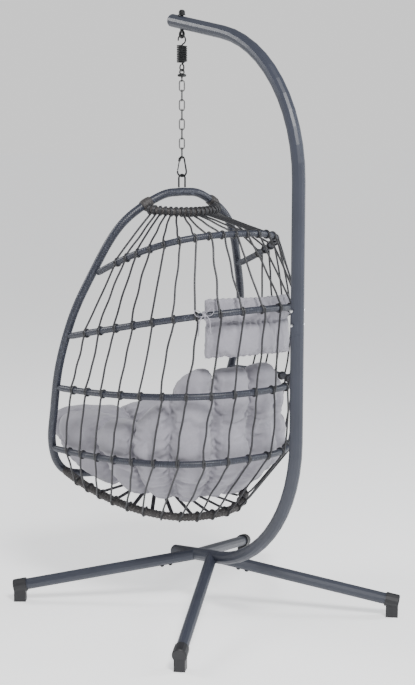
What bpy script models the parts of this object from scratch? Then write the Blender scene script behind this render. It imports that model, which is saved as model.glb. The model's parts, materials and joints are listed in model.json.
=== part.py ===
"""Hanging egg chair: a corded basket that swings from a curved floor stand.

Metres, +Z up. The origin is on the floor, below the middle of the chair's outer box.
The seat faces -Y, the pole stands at +Y, and everything is symmetric about X = 0.
"""

import math

import bpy
from mathutils import Matrix, Vector

# --- Stand ---------------------------------------------------------------------------------
HANG_Y = -0.0987  # the basket's hanging line
POLE_Y = HANG_Y + 0.601  # the upright part of the pole

POLE_R = 0.021
POLE_BORE = 0.0185
SPIGOT_R = 0.0182
SPIGOT_LENGTH = 0.10
POLE_SEAM_Z = 0.97
LOWER_BEND = 0.460
LOWER_BEND_Z = 0.636
RUN_SLOPE = math.radians(8)  # the run falls towards its free end
RUN_END_Y = HANG_Y - 0.035
UPPER_BEND = 0.463
UPPER_BEND_Z = 1.429
POLE_BOLT_HEIGHTS = (0.028, 0.072)  # above the seam
POLE_BOLT_R = 0.003
ARM_SLOPE = math.radians(10.2)
ARM_TIP_Y = HANG_Y - 0.05

LEG_R = 0.019
LEG_BORE = 0.0175
STUB_R = 0.0172
LEG_END_Z = 0.050
LEG_LENGTH = 0.614  # from its root on the run to its end, level
FRONT_ROOT_Y = HANG_Y + 0.085
FRONT_LEG_ANGLE = math.radians(127)  # from +Y
BACK_ROOT_Y = HANG_Y + 0.171
BACK_LEG_ANGLE = math.radians(45.5)
LEG_START = 0.078  # seam between stub and leg, from the root
STUB_LENGTH = 0.150
BOLT_PLACES = (0.094, 0.122)
BOLT_R = 0.003
FOOT_R = 0.0235
FOOT_SLEEVE = 0.045
FOOT_WALL = 0.005
FOOT_BLOCK = (0.034, 0.040)

# --- Hanger --------------------------------------------------------------------------------
GAP = 0.0003
ARM_HOLE_R = 0.0065
SHANK_R = 0.006
EYE_RING = 0.010
EYE_WIRE = 0.0045
EYE_Z = 1.887
SPRING_WIRE = 0.0025
SPRING_RADIUS = 0.0155
SPRING_TURNS = 10
SPRING_PITCH = 0.0057
HOOK_RING = 0.0145
LOWER_HOOK_RING = 0.011
YOKE_RING = 0.0085
YOKE_WIRE = 0.0025
YOKE_BLOCK = (0.0165, 0.0085, 0.0090)
PIN_R = 0.003
PIN_CLEARANCE = 0.0004
SWIVEL_RING = 0.006
LINK_WIRE = 0.002
LINK_HALF_WIDTH = 0.008
LINK_HALF_LENGTH = 0.01775
LINKS = 8
CHAIN_TURN = math.radians(-36.4)  # the plane of the odd links, turned about Z from X
CARABINER_WIRE = 0.003
CARABINER_LENGTH = 0.064
CARABINER_TURN = math.radians(-56)
RING_WIRE = 0.003
RING_HALF_WIDTH = 0.0125

# --- Basket --------------------------------------------------------------------------------
HOOP_R = 0.0125
HOOP_LEAN = math.radians(18)
APEX_Z = 1.377
# Half of the hoop's outline in its own plane: half width, distance down from the apex
HOOP_OUTLINE = (
    (0.0, 0.0),
    (0.075, 0.009),
    (0.175, 0.066),
    (0.240, 0.140),
    (0.296, 0.270),
    (0.345, 0.420),
    (0.3665, 0.600),
    (0.358, 0.770),
    (0.345, 0.890),
    (0.300, 0.985),
    (0.215, 1.030),
    (0.0, 1.045),
)
EAR_OFFSET = 0.022  # from the hoop's axis back to a band's bolts
EAR_THICKNESS = 0.003
EAR_R = 0.009
BAND_R = 0.0085
BAND_EYE_R = 0.0088
BAND_EYE_THICKNESS = 0.005
WRAP = 0.0025  # thickness of the woven wrap
WRAP_GAP = 0.0004
# Bands from the top: distance down the hoop, half width, tilt up towards the back, depth, squareness
BANDS = {
    "band_1": (0.262, 0.290, math.radians(21), 0.371, 2.8),
    "band_2": (0.484, 0.358, math.radians(12), 0.571, 2.2),
    "band_3": (0.672, 0.366, math.radians(3), 0.580, 2.4),
    "band_4": (0.903, 0.345, math.radians(2.8), 0.622, 2.7),
    "bottom_ring": (0.994, 0.292, math.radians(-13), 0.470, 2.4),
}
RING_R = 0.0110
CROWN_S = 0.052
CROWN_HALF_WIDTH = 0.136
CROWN_DEPTH = 0.090
CROWN_R = 0.0105
CORDS = 19
# Share of each band's wrap beyond its first cord
CORD_MARGINS = {"band_1": 0.085, "band_2": 0.045, "band_3": 0.035, "band_4": 0.035, "bottom_ring": 0.055}
CORD_R = 0.0027
STRAPS = 13
STRAP_WIDTH = 0.013
STRAP_THICKNESS = 0.002
STRAP_PLATE_R = 0.055

# --- Cushions ------------------------------------------------------------------------------
CUSHION_SIDE = 0.308
CUSHION_BACK = 0.328
CUSHION_FRONT = 0.430
CUSHION_FLOOR_Z = 0.392  # below the hanging line
CUSHION_FLOOR_SLOPE = 0.20  # down towards the back
CUSHION_SEAT_Z = 0.50
CUSHION_BACK_Z = 0.825
CUSHION_SIDE_Z = 0.645
CUSHION_FRONT_Z = 0.60
CUSHION_FRONT_THICKNESS = 0.20
CUSHION_BACK_THICKNESS = 0.055
PILLOW_SIZE = (0.350, 0.054, 0.190)
PILLOW_Y = HANG_Y + 0.375
PILLOW_Z = 0.972
PILLOW_BEND = 0.036  # how far its ends come forward along the band
TIE_SHARE = 0.372

SIDES = 12
BAND_STEPS = 19
BAND_START = 0.012  # shares of a band's length: where its round tube starts
WRAP_START = 0.024  # and where its wrap starts


# --- Materials -----------------------------------------------------------------------------
def material(name, colour, roughness, metallic=0.0):
    made = bpy.data.materials.get(name) or bpy.data.materials.new(name)
    made.use_nodes = True
    shader = made.node_tree.nodes["Principled BSDF"]
    shader.inputs["Base Color"].default_value = (*colour, 1.0)
    shader.inputs["Roughness"].default_value = roughness
    shader.inputs["Metallic"].default_value = metallic
    made.diffuse_color = (*colour, 1.0)
    return made


def slate_paint():
    return material("slate_paint", (0.075, 0.085, 0.115), 0.42, 0.3)


def slate_plastic():
    return material("slate_plastic", (0.075, 0.085, 0.115), 0.5)


def black_steel():
    return material("black_steel", (0.02, 0.022, 0.024), 0.4, 0.6)


def silver_steel():
    return material("silver_steel", (0.62, 0.63, 0.64), 0.3, 1.0)


def black_plastic():
    return material("black_plastic", (0.022, 0.022, 0.024), 0.5)


def slate_wicker():
    return material("slate_wicker", (0.075, 0.085, 0.11), 0.6)


def brown_wicker():
    return material("brown_wicker", (0.085, 0.078, 0.075), 0.65)


def grey_fabric():
    return material("grey_fabric", (0.42, 0.42, 0.45), 0.85)


# --- Modelling tools -----------------------------------------------------------------------
def add_mesh(name, points, faces, look=None, hidden=False):
    """A new object from points and faces, shaded smooth across shallow angles."""
    mesh = bpy.data.meshes.new(name)
    mesh.from_pydata([tuple(p) for p in points], [], faces)
    mesh.validate()
    mesh.shade_smooth()
    mesh.set_sharp_from_angle(angle=math.radians(35))
    made = bpy.data.objects.new(name, mesh)
    bpy.context.scene.collection.objects.link(made)
    if look:
        mesh.materials.append(look)
    if hidden:
        made.hide_render = True
        made.display_type = "WIRE"
    return made


def boolean(target, tool, operation):
    """Cuts a tool from the target, or joins it on, and keeps the tool as a hidden guide."""
    step = target.modifiers.new(f"{operation.lower()}_{tool.name}", "BOOLEAN")
    step.operation = operation
    step.solver = "EXACT"
    step.object = tool
    tool.hide_render = True
    tool.display_type = "WIRE"


def frames_along(points, closed):
    """A pair of unit vectors across the path at each point, carried along it without twist."""
    count = len(points)
    tangents = []
    for i, point in enumerate(points):
        before, after = i - 1, i + 1
        if closed:
            span = points[after % count] - points[before % count]
        else:
            while before >= 0 and (points[before] - point).length < 1e-7:
                before -= 1
            while after < count and (points[after] - point).length < 1e-7:
                after += 1
            span = points[min(after, count - 1)] - points[max(before, 0)]
        tangents.append(span.normalized())
    side = Vector()
    for a, b in zip(points, points[1:]):
        side += (a - points[0]).cross(b - points[0])
    if side.length < 1e-6:
        side = tangents[0].orthogonal()
    frames = []
    for tangent in tangents:
        side = (side - tangent * side.dot(tangent)).normalized()
        frames.append((side, tangent.cross(side)))
    return frames


def sweep(name, points, radii, look=None, sides=SIDES, bore=0.0, closed=False, hidden=False):
    """A round bar along a path, or a tube where it has a bore. Radii is one value or one per point."""
    path = [Vector(p) for p in points]
    if not isinstance(radii, (list, tuple)):
        radii = [radii] * len(path)
    frames = frames_along(path, closed)
    count = len(path)

    def ring(i, radius):
        side, up = frames[i]
        turns = [2 * math.pi * k / sides for k in range(sides)]
        return [path[i] + (side * math.cos(t) + up * math.sin(t)) * radius for t in turns]

    def skin(base, inward):
        made = []
        for i in range(count if closed else count - 1):
            j = (i + 1) % count
            for k in range(sides):
                m = (k + 1) % sides
                quad = (base + i * sides + k, base + i * sides + m, base + j * sides + m, base + j * sides + k)
                made.append(quad[::-1] if inward else quad)
        return made

    verts = [p for i in range(count) for p in ring(i, radii[i])]
    faces = skin(0, False)
    last = (count - 1) * sides
    if bore:
        inner = len(verts)
        verts += [p for i in range(count) for p in ring(i, bore)]
        faces += skin(inner, True)
        if not closed:
            for k in range(sides):
                m = (k + 1) % sides
                faces.append((inner + k, inner + m, m, k))
                faces.append((last + k, last + m, inner + last + m, inner + last + k))
    elif not closed:
        faces.append(tuple(range(sides))[::-1])
        faces.append(tuple(last + k for k in range(sides)))
    return add_mesh(name, verts, faces, look, hidden)


def rod(name, start, end, radius, look=None, sides=SIDES, bore=0.0, hidden=False):
    return sweep(name, (start, end), radius, look, sides, bore, hidden=hidden)


def box(name, centre, size, look=None, turn=None, hidden=False):
    """A box about a centre, turned by a matrix."""
    turn = turn or Matrix.Identity(3)
    corners = []
    for z in (-0.5, 0.5):
        for y in (-0.5, 0.5):
            for x in (-0.5, 0.5):
                corners.append(Vector(centre) + turn @ Vector((x * size[0], y * size[1], z * size[2])))
    faces = [(0, 2, 3, 1), (4, 5, 7, 6), (0, 1, 5, 4), (2, 6, 7, 3), (0, 4, 6, 2), (1, 3, 7, 5)]
    return add_mesh(name, corners, faces, look, hidden)


def arc(centre, radius, start, end, steps, across, up):
    """Points on an arc in the plane of two unit vectors."""
    made = []
    for i in range(steps + 1):
        turn = start + (end - start) * i / steps
        made.append(Vector(centre) + (across * math.cos(turn) + up * math.sin(turn)) * radius)
    return made


def smooth_curve(points, steps):
    """A Catmull-Rom curve through points, with even steps between each pair."""
    path = [Vector(p) for p in points]
    path = [path[0] * 2 - path[1]] + path + [path[-1] * 2 - path[-2]]
    made = []
    for i in range(1, len(path) - 2):
        a, b, c, d = path[i - 1 : i + 3]
        for k in range(steps):
            t = k / steps
            made.append(
                0.5 * (2 * b + (c - a) * t + (2 * a - 5 * b + 4 * c - d) * t * t + (3 * b - a - 3 * c + d) * t**3)
            )
    made.append(path[-2])
    return made


X, Y, Z = Vector((1, 0, 0)), Vector((0, 1, 0)), Vector((0, 0, 1))


# --- Stand ---------------------------------------------------------------------------------
def upper_pole_path():
    centre = Vector((0, POLE_Y - UPPER_BEND, UPPER_BEND_Z))
    bend = arc(centre, UPPER_BEND, 0.0, math.pi / 2 - ARM_SLOPE, 12, Y, Z)
    along_arm = Vector((0, -math.cos(ARM_SLOPE), math.sin(ARM_SLOPE)))
    arm_length = (bend[-1].y - ARM_TIP_Y) / math.cos(ARM_SLOPE)
    return [Vector((0, POLE_Y, POLE_SEAM_Z)), *bend, bend[-1] + along_arm * arm_length]


def lower_pole_path():
    """From the spigot down, round the bend and along the run to the free end."""
    centre = Vector((0, POLE_Y - LOWER_BEND, LOWER_BEND_Z))
    bend = arc(centre, LOWER_BEND, 0.0, -math.radians(87), 14, Y, Z)
    seam = Vector((0, POLE_Y, POLE_SEAM_Z - GAP))
    end = bend[-1] + Vector((0, -math.cos(RUN_SLOPE), -math.sin(RUN_SLOPE))) * run_length(bend[-1])
    return [seam + Z * SPIGOT_LENGTH, seam, seam, *bend, end]


def run_length(start):
    return (start.y - RUN_END_Y) / math.cos(RUN_SLOPE)


def run_point(y):
    """The lower pole's axis at a place along its run or in its bend."""
    path = lower_pole_path()
    for a, b in zip(path, path[1:]):
        if b.y <= y < a.y:
            return a.lerp(b, (a.y - y) / (a.y - b.y))
    return path[-1]


def arm_point(y):
    """The arm's axis at a place along Y."""
    tip = upper_pole_path()[-1]
    return tip + Vector((0, y - tip.y, -(y - tip.y) * math.tan(ARM_SLOPE)))


def make_poles():
    upper = sweep("upper_pole", upper_pole_path(), POLE_R, slate_paint(), 14, POLE_BORE)
    drill = rod("arm_drill", (0, HANG_Y, 1.85), (0, HANG_Y, 2.0), ARM_HOLE_R, hidden=True)
    boolean(upper, drill, "DIFFERENCE")
    path = lower_pole_path()
    radii = [SPIGOT_R, SPIGOT_R] + [POLE_R] * (len(path) - 2)
    lower = sweep("lower_pole", path, radii, slate_paint(), 14, SPIGOT_R - 0.002)
    for i, height in enumerate(POLE_BOLT_HEIGHTS):
        centre = Vector((0, POLE_Y, POLE_SEAM_Z + height))
        drill = rod(f"pole_drill_{i}", centre - X * 0.03, centre + X * 0.03, POLE_BOLT_R + GAP, hidden=True)
        boolean(upper, drill, "DIFFERENCE")
        boolean(lower, drill, "DIFFERENCE")
        make_through_bolt(f"pole_bolt_{i + 1}", centre)


def make_through_bolt(name, centre):
    """A bolt through the pole: a round head at -X and a capped nut at +X, as one piece."""
    face = POLE_R + GAP
    places = [-face - 0.0050, -face - 0.0035, -face, -face, face, face, face + 0.0045, face + 0.0070]
    radii = [0.003, 0.0058, 0.0062, POLE_BOLT_R, POLE_BOLT_R, 0.0055, 0.0055, 0.003]
    sweep(name, [centre + X * place for place in places], radii, silver_steel(), 10)


def make_plug(name, end, outward, bore):
    """A plastic plug: a head as wide as the tube and a stem inside it."""
    outward = outward.normalized()
    start = end + outward * GAP
    stations = [start - outward * 0.015, start, start, start + outward * 0.004, start + outward * 0.007]
    stem = bore - 2 * GAP
    sweep(name, stations, [stem, stem, POLE_R, POLE_R, POLE_R * 0.7], slate_plastic(), 14)


def make_plugs():
    arm = upper_pole_path()
    make_plug("arm_end_cap", arm[-1], arm[-1] - arm[-2], POLE_BORE)
    run = lower_pole_path()
    make_plug("run_end_cap", run[-1], run[-1] - run[-2], SPIGOT_R - 0.002)


def leg_places():
    """Each leg's name, its root on the pole's axis and its direction down to the foot."""
    made = []
    for name, angle, y in (("front", FRONT_LEG_ANGLE, FRONT_ROOT_Y), ("back", BACK_LEG_ANGLE, BACK_ROOT_Y)):
        root = run_point(y)
        for side, sign in (("left", 1), ("right", -1)):
            level = Vector((sign * math.sin(angle), math.cos(angle), 0))
            drop = (root.z - LEG_END_Z) / LEG_LENGTH
            made.append((f"{name}_{side}", root, (level - Z * drop).normalized(), level))
    return made


def make_leg(name, root, along, level):
    length = LEG_LENGTH / along.dot(level)
    seam = root + along * LEG_START
    end = root + along * length
    stations = [root + along * 0.004, seam, seam, root + along * STUB_LENGTH]
    stub = sweep(f"stub_{name}", stations, [LEG_R, LEG_R, STUB_R, STUB_R], slate_paint())
    pole = sweep(f"pole_room_{name}", lower_pole_path()[2:], POLE_R + GAP, sides=14, hidden=True)
    boolean(stub, pole, "DIFFERENCE")
    leg = sweep(f"leg_{name}", [seam + along * GAP, end], LEG_R, slate_paint(), bore=LEG_BORE)
    below = (Z * -1 + along * along.z).normalized()
    for i, place in enumerate(BOLT_PLACES):
        centre = root + along * place
        drill = rod(f"drill_{name}_{i}", centre, centre + below * 0.03, BOLT_R + GAP, sides=8, hidden=True)
        boolean(leg, drill, "DIFFERENCE")
        boolean(stub, drill, "DIFFERENCE")
        head = centre + below * (LEG_R + GAP)
        stations = [centre + below * 0.010, head, head, head + below * 0.0025, head + below * 0.0042]
        sweep(f"leg_bolt_{name}_{i + 1}", stations, [BOLT_R, BOLT_R, 0.0065, 0.0065, 0.0035], black_steel(), 8)
    make_foot(name, end, along, level)


def make_foot(name, end, along, level):
    """A plastic sleeve round the leg's end, closed outside, on a flat-bottomed block."""
    outer = end + along * FOOT_WALL
    inner = end - along * (FOOT_SLEEVE - FOOT_WALL)
    stations = [inner, outer - along * 0.003, outer]
    foot = sweep(f"foot_{name}", stations, [FOOT_R, FOOT_R, FOOT_R - 0.003], black_plastic(), 14)
    turn = Matrix((level.cross(Z), level, Z)).transposed()
    middle = (inner + outer) / 2
    centre = Vector((middle.x, middle.y, middle.z / 2))
    block = box(f"block_{name}", centre, (*FOOT_BLOCK, middle.z), turn=turn, hidden=True)
    boolean(foot, block, "UNION")
    room = rod(f"foot_room_{name}", inner - along * 0.02, end + along * GAP, LEG_R + GAP, hidden=True)
    boolean(foot, room, "DIFFERENCE")


def make_stand():
    make_poles()
    make_plugs()
    for place in leg_places():
        make_leg(*place)


# --- Hanger --------------------------------------------------------------------------------
def at_hang(x, z, across=X):
    return Vector((0, HANG_Y, z)) + across * x


def make_eye_bolt():
    """An eye in the YZ plane on a shank through the arm, with a nut and a washer on top."""
    top = arm_point(HANG_Y).z + POLE_R / math.cos(ARM_SLOPE)
    eye = sweep("eye_bolt", arc(at_hang(0, EYE_Z), EYE_RING, 0, 2 * math.pi, 16, Y, Z)[:-1], EYE_WIRE,
                black_steel(), 8, closed=True)
    stations = [at_hang(0, EYE_Z + EYE_RING), at_hang(0, top + 0.012)]
    boolean(eye, rod("eye_shank", *stations, SHANK_R, hidden=True), "UNION")
    seat = top + 0.0045
    heights = (seat - 0.0017, seat, seat, seat + 0.009, seat + 0.013, seat + 0.0155)
    nut = sweep("dome_nut", [at_hang(0, z) for z in heights], [0.0125, 0.0125, 0.0105, 0.0105, 0.0085, 0.004],
                black_steel(), 12)
    room = rod("nut_room", at_hang(0, seat - 0.01), at_hang(0, top + 0.0124), SHANK_R + GAP, hidden=True)
    boolean(nut, room, "DIFFERENCE")


def spring_top_z():
    """Axis height of the spring's upper hook, which rests in the eye."""
    return EYE_Z - EYE_RING + EYE_WIRE + SPRING_WIRE + GAP


def make_spring():
    """An open hook in the XZ plane, a close coil, and a lower hook in the YZ plane."""
    top = spring_top_z()
    ring_centre = at_hang(0, top - HOOK_RING)
    path = arc(ring_centre, HOOK_RING, math.radians(-15), math.radians(262), 16, X, Z)
    start_z = top - 2 * HOOK_RING - 0.003
    steps = 9
    total = SPRING_TURNS * steps
    for i in range(total + 1):
        share = i / steps
        radius = SPRING_RADIUS * min(1, share / 0.35, (SPRING_TURNS - share) / 0.35)
        turn = math.pi + 2 * math.pi * share
        centre = at_hang(0, start_z - share * SPRING_PITCH)
        if radius > 0.004:
            path.append(centre + (X * math.cos(turn) + Y * math.sin(turn)) * radius)
    lower = start_z - SPRING_TURNS * SPRING_PITCH - 0.004
    centre = at_hang(0, lower - LOWER_HOOK_RING)
    path += arc(centre, LOWER_HOOK_RING, math.radians(95), math.radians(-240), 16, Y, Z)
    sweep("spring", path, SPRING_WIRE, black_steel(), 6)
    return lower - 2 * LOWER_HOOK_RING


def make_swivel(hook_z):
    """A yoke that hangs in the spring's hook, and an eye whose pin turns in it."""
    ring_top = hook_z + SPRING_WIRE + YOKE_WIRE + GAP
    ring_z = ring_top - YOKE_RING
    yoke = sweep("swivel_yoke", arc(at_hang(0, ring_z), YOKE_RING, 0, 2 * math.pi, 14, X, Z)[:-1], YOKE_WIRE,
                 black_steel(), 6, closed=True)
    block_z = ring_z - YOKE_RING - YOKE_BLOCK[2] / 2 + 0.002
    half_x, half_y, height = YOKE_BLOCK
    outline = [2 * math.pi * k / 14 for k in range(14)]
    verts, faces = [], []
    for level, share in ((-0.5, 0.8), (-0.2, 1.0), (0.2, 1.0), (0.5, 0.8)):
        for t in outline:
            verts.append(at_hang(0, block_z + level * height) + X * half_x * share * math.cos(t)
                         + Y * half_y * share * math.sin(t))
    for i in range(3):
        for k in range(14):
            m = (k + 1) % 14
            faces.append((i * 14 + k, i * 14 + m, (i + 1) * 14 + m, (i + 1) * 14 + k))
    faces.append(tuple(range(14))[::-1])
    faces.append(tuple(42 + k for k in range(14)))
    boolean(yoke, add_mesh("yoke_block", verts, faces, hidden=True), "UNION")
    head_z = block_z + height / 2 + PIN_CLEARANCE
    room = sweep(
        "pin_room",
        [at_hang(0, block_z - 0.01), at_hang(0, head_z - PIN_CLEARANCE), at_hang(0, head_z - PIN_CLEARANCE),
         at_hang(0, head_z + 0.0055)],
        [PIN_R + PIN_CLEARANCE] * 2 + [0.0045 + PIN_CLEARANCE] * 2, hidden=True)
    boolean(yoke, room, "DIFFERENCE")
    eye_z = block_z - height / 2 - 0.0035 - SWIVEL_RING
    eye = sweep("swivel_eye", arc(at_hang(0, eye_z), SWIVEL_RING, 0, 2 * math.pi, 14, chain_side(1), Z)[:-1],
                LINK_WIRE, black_steel(), 6, closed=True)
    pin = sweep(
        "swivel_pin",
        [at_hang(0, eye_z + SWIVEL_RING - 0.001), at_hang(0, head_z), at_hang(0, head_z), at_hang(0, head_z + 0.0025)],
        [PIN_R, PIN_R, 0.0045, 0.0045], hidden=True)
    boolean(eye, pin, "UNION")
    return eye_z - SWIVEL_RING


def chain_side(i):
    """The level direction across link i; every second link stands square to the one before."""
    turn = CHAIN_TURN + (math.pi / 2 if i % 2 else 0)
    return Vector((math.cos(turn), math.sin(turn), 0))


def make_chain(eye_z):
    top = eye_z + 2 * LINK_WIRE + GAP
    for i in range(LINKS):
        centre = top - LINK_HALF_LENGTH
        straight = LINK_HALF_LENGTH - LINK_HALF_WIDTH
        side = chain_side(i)
        path = arc(at_hang(0, centre + straight), LINK_HALF_WIDTH, 0, math.pi, 7, side, Z)
        path += arc(at_hang(0, centre - straight), LINK_HALF_WIDTH, math.pi, 2 * math.pi, 7, side, Z)
        sweep(f"chain_link_{i + 1}", path, LINK_WIRE, black_steel(), 6, closed=True)
        last = top - 2 * LINK_HALF_LENGTH
        top = last + 2 * LINK_WIRE + GAP
    return last


def make_carabiner(link_z):
    """A pear-shaped snap hook with its gate on one side, hinged at the narrow end."""
    side = Vector((math.cos(CARABINER_TURN), math.sin(CARABINER_TURN), 0))
    top = link_z + LINK_WIRE + CARABINER_WIRE + 0.0008
    bottom = top - CARABINER_LENGTH
    small, large = 0.0085, 0.0155
    upper = at_hang(0, top - small)
    lower = at_hang(0, bottom + large)
    body = arc(upper, small, math.radians(-8), math.radians(168), 9, side, Z)
    body += arc(lower, large, math.radians(170), math.radians(370), 12, side, Z)
    hook = sweep("carabiner_body", body, CARABINER_WIRE, black_steel(), 8)
    hinge = body[0]
    nose = body[-1]
    across = side.cross(Z)
    along = (nose - hinge).normalized()
    slot = box("gate_slot", hinge - along * 0.001, (0.0044, 0.0085, 0.014),
               turn=Matrix((across, along.cross(across), along)).transposed(), hidden=True)
    pin_place = hinge + along * 0.0005
    boolean(hook, slot, "DIFFERENCE")
    ears = []
    for sign in (-1, 1):
        ears.append(box(f"gate_ear_{sign}", pin_place + across * sign * 0.0032 - along * 0.001,
                        (0.0016, 0.006, 0.0115), turn=Matrix((across, along.cross(across), along)).transposed(),
                        hidden=True))
    for ear in ears:
        boolean(hook, ear, "UNION")
    drill = rod("gate_drill", pin_place - across * 0.006, pin_place + across * 0.006, 0.0012, sides=8, hidden=True)
    boolean(hook, drill, "DIFFERENCE")
    rod("carabiner_pin", pin_place - across * 0.0042, pin_place + across * 0.0042, 0.0009, silver_steel(), 8)
    gate = rod("carabiner_gate", pin_place - along * 0.0022, nose - along * 0.0012, 0.0019, black_steel(), 8)
    boolean(gate, rod("gate_bore", pin_place - across * 0.006, pin_place + across * 0.006, 0.0012, sides=8,
                      hidden=True), "DIFFERENCE")
    return bottom


def make_ring_eye(carabiner_z):
    """An upside-down U on top of the hoop, in the hoop's width direction."""
    top = carabiner_z + CARABINER_WIRE + RING_WIRE + GAP
    base = APEX_Z + HOOP_R / math.cos(HOOP_LEAN) + 0.0012
    centre = at_hang(0, top - RING_HALF_WIDTH)
    path = [at_hang(RING_HALF_WIDTH, base)]
    path += arc(centre, RING_HALF_WIDTH, 0, math.pi, 10, X, Z)
    path.append(at_hang(-RING_HALF_WIDTH, base))
    sweep("ring_eye", path, RING_WIRE, black_steel(), 8)


def make_hanger():
    make_eye_bolt()
    hook_z = make_spring()
    eye_z = make_swivel(hook_z)
    link_z = make_chain(eye_z)
    make_ring_eye(make_carabiner(link_z))


# --- Basket --------------------------------------------------------------------------------
def hoop_point(half_width, down, back=0.0):
    """A point of the hoop's plane, or a distance behind it."""
    across = Vector((0, math.cos(HOOP_LEAN), -math.sin(HOOP_LEAN)))
    fall = Vector((0, -math.sin(HOOP_LEAN), -math.cos(HOOP_LEAN)))
    return Vector((half_width, HANG_Y, APEX_Z)) + fall * down + across * back


def hoop_path(steps):
    half = smooth_curve([(w, s, 0) for w, s in HOOP_OUTLINE], steps)
    outline = [(p.x, p.y) for p in half]
    outline += [(-w, s) for w, s in outline[-2:0:-1]]
    return [hoop_point(w, s) for w, s in outline]


def band_path(name, inward=0.0):
    """A band's axis from its left end round the back to its right one, or a line inside it."""
    down, half_width, tilt, depth, square = BANDS[name]
    bolt = hoop_point(0, down, EAR_OFFSET)
    back = Vector((0, math.cos(tilt), math.sin(tilt)))
    fine = []
    for i in range(241):
        t = math.pi * i / 240
        x = math.copysign(abs(math.cos(t)) ** (2 / square), math.cos(t))
        y = abs(math.sin(t)) ** (2 / square)
        fine.append(bolt + X * (half_width - inward) * x + back * (depth - inward) * y)
    even = [WRAP_START + (1 - 2 * WRAP_START) * i / BAND_STEPS for i in range(BAND_STEPS + 1)]
    return even_points(fine, [BAND_START, *even, 1 - BAND_START])


def even_points(path, shares):
    """Points at shares of a path's length."""
    lengths = [0.0]
    for a, b in zip(path, path[1:]):
        lengths.append(lengths[-1] + (b - a).length)
    made = []
    for share in shares:
        want = share * lengths[-1]
        i = max(k for k in range(len(path) - 1) if lengths[k] <= want or k == 0)
        t = (want - lengths[i]) / (lengths[i + 1] - lengths[i])
        made.append(path[i].lerp(path[i + 1], t))
    return made


def make_hoop():
    hoop = sweep("hoop", hoop_path(3), HOOP_R, slate_wicker(), 8, closed=True)
    backward = Vector((0, math.cos(HOOP_LEAN), -math.sin(HOOP_LEAN)))
    fall = Vector((0, -math.sin(HOOP_LEAN), -math.cos(HOOP_LEAN)))
    turn = Matrix((X, backward, fall)).transposed()
    for name, (down, half_width, *_rest) in BANDS.items():
        for sign in (-1, 1):
            inside = half_width - BAND_EYE_THICKNESS / 2 - EAR_THICKNESS / 2 - GAP
            plate = hoop_point(sign * inside, down, EAR_OFFSET / 2)
            ear = box(f"ear_{name}_{sign}", plate, (EAR_THICKNESS, EAR_OFFSET, 2 * EAR_R), turn=turn, hidden=True)
            boolean(hoop, ear, "UNION")
            bolt = hoop_point(sign * inside, down, EAR_OFFSET)
            half = X * sign * EAR_THICKNESS / 2
            tip = rod(f"ear_tip_{name}_{sign}", bolt - half * 0.98, bolt + half * 0.98, EAR_R, hidden=True)
            boolean(hoop, tip, "UNION")
            face = X * sign * (EAR_THICKNESS / 2 + BAND_EYE_THICKNESS + 2 * GAP)
            stations = [bolt, bolt + face, bolt + face, bolt + face + X * sign * 0.0035]
            rivet = sweep(f"rivet_{name}_{sign}", stations, [0.003, 0.003, 0.0065, 0.005], sides=8, hidden=True)
            boolean(hoop, rivet, "UNION")


def make_crown():
    """A short arc behind the apex that carries the cords' upper ends."""
    path = crown_path(14)
    crown = sweep("crown_band", path, CROWN_R, brown_wicker(), 8)
    room = sweep("hoop_room", hoop_path(3), HOOP_R + 2 * GAP, sides=8, closed=True, hidden=True)
    boolean(crown, room, "DIFFERENCE")


def crown_path(steps):
    start = hoop_point(0, CROWN_S, 0.004)
    made = []
    for i in range(steps + 1):
        t = math.pi * i / steps
        drop = 0.012 * math.sin(t)
        made.append(start + X * CROWN_HALF_WIDTH * math.cos(t) + Y * CROWN_DEPTH * math.sin(t) - Z * drop)
    return made


def band_radius(name):
    return RING_R if name == "bottom_ring" else BAND_R


def make_band(name):
    """A bent tube with flattened, drilled ends on the hoop's bolts."""
    radius = band_radius(name)
    down, half_width, tilt, *_rest = BANDS[name]
    path = band_path(name)
    look = brown_wicker() if name == "bottom_ring" else slate_wicker()
    band = sweep(name, path, radius, look, 8)
    back = Vector((0, math.cos(tilt), math.sin(tilt)))
    for sign in (-1, 1):
        bolt = hoop_point(sign * half_width, down, EAR_OFFSET)
        half = X * BAND_EYE_THICKNESS / 2
        eye = rod(f"eye_{name}_{sign}", bolt - half, bolt + half, BAND_EYE_R, sides=14, hidden=True)
        near = path[0] if sign > 0 else path[-1]
        reach = (near - bolt).dot(back) + 0.012
        turn = Matrix((X, back, X.cross(back))).transposed()
        flat = box(f"flat_{name}_{sign}", bolt + back * reach / 2, (BAND_EYE_THICKNESS * 0.98, reach, 0.016),
                   turn=turn, hidden=True)
        hole = rod(f"hole_{name}_{sign}", bolt - X * 0.02, bolt + X * 0.02, 0.003 + GAP, sides=8, hidden=True)
        boolean(band, eye, "UNION")
        boolean(band, flat, "UNION")
        boolean(band, hole, "DIFFERENCE")


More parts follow.
